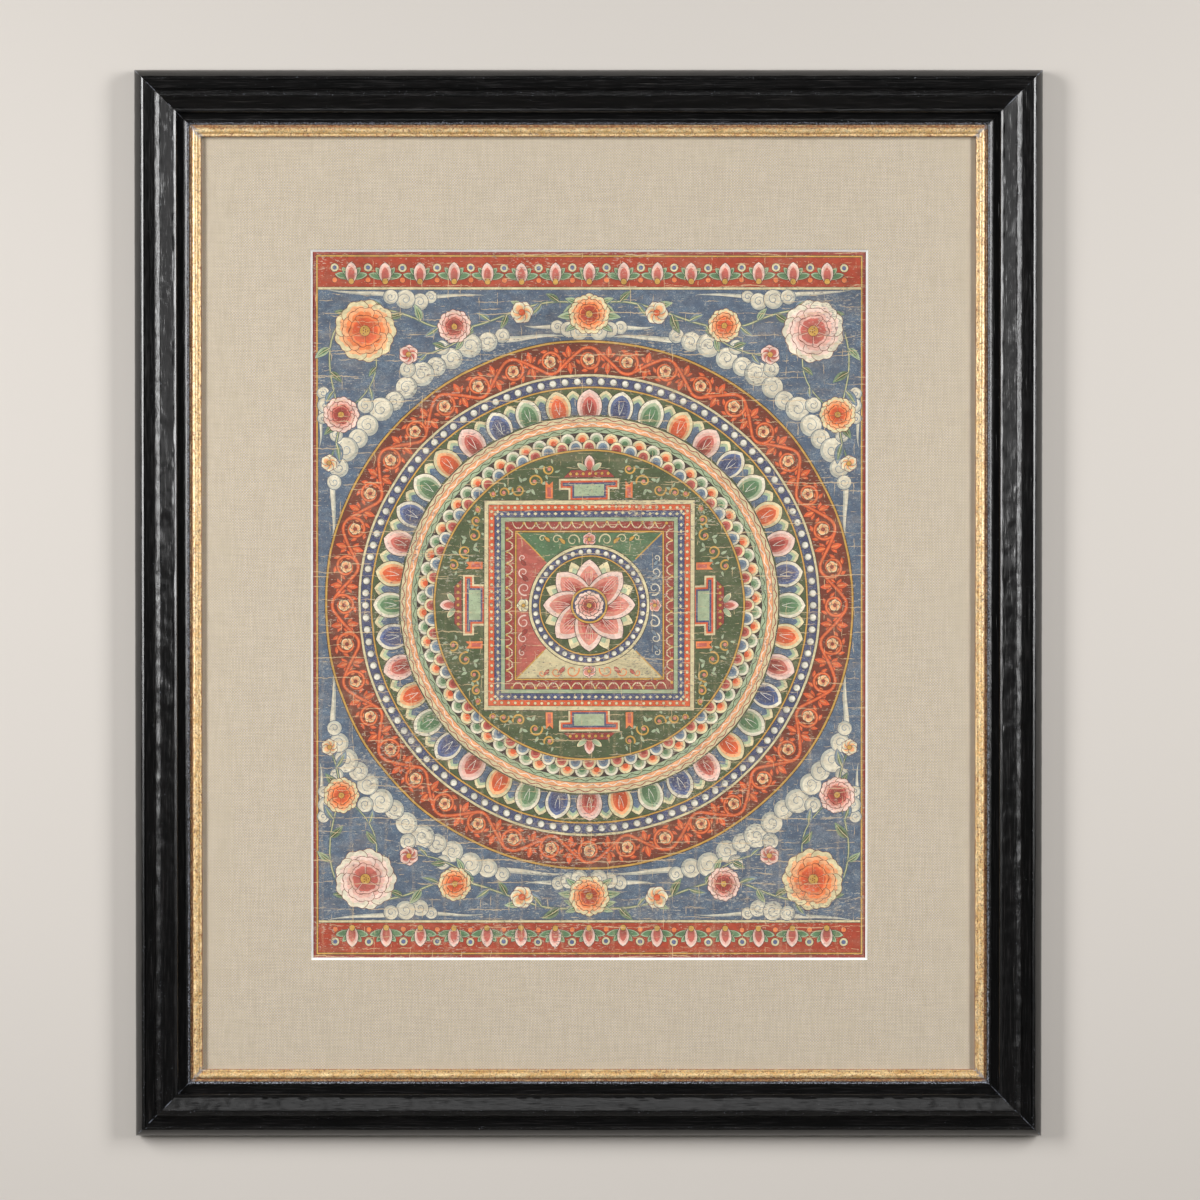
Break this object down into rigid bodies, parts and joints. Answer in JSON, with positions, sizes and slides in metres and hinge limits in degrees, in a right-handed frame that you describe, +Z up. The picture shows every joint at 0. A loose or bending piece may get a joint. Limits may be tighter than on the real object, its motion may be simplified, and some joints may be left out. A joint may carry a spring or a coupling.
{
  "type": "framed thangka painting",
  "caption": "Painted cotton thangka shown behind a linen-faced window mat, in a gilt slip and a black moulded wood frame that hangs flat on a wall.",
  "frame": {"origin": "middle of the top rail's flat back, where the frame meets the wall", "axes": "+Z up along the frame's height, +Y into the wall, the picture faces -Y, +X to the viewer's right"},
  "size_m": [0.755, 0.0255, 0.887],
  "materials": {
    "ebonised_wood": "black stain and wax over fine grain, satin, hand-worked edges",
    "gilt": "burnished gold leaf over red bole on a wood core, rubbed and dusty, satin",
    "linen": "undyed plain-weave linen, matte",
    "mat_core": "white mat board, cut bevel, matte",
    "painted_cotton": "glue-bound mineral paint on sized cotton, cracked and rubbed, matte",
    "backing_board": "plain brown fibreboard, matte"
  },
  "bodies": {
    "root": {"rail_top": "ebonised_wood", "rail_right": "ebonised_wood", "rail_bottom": "ebonised_wood", "rail_left": "ebonised_wood", "slip_top": "gilt", "slip_right": "gilt", "slip_bottom": "gilt", "slip_left": "gilt", "mat_linen": "linen", "mat_core": "mat_core", "thangka": "painted_cotton", "backing_board": "backing_board"}
  },
  "joints": []
}
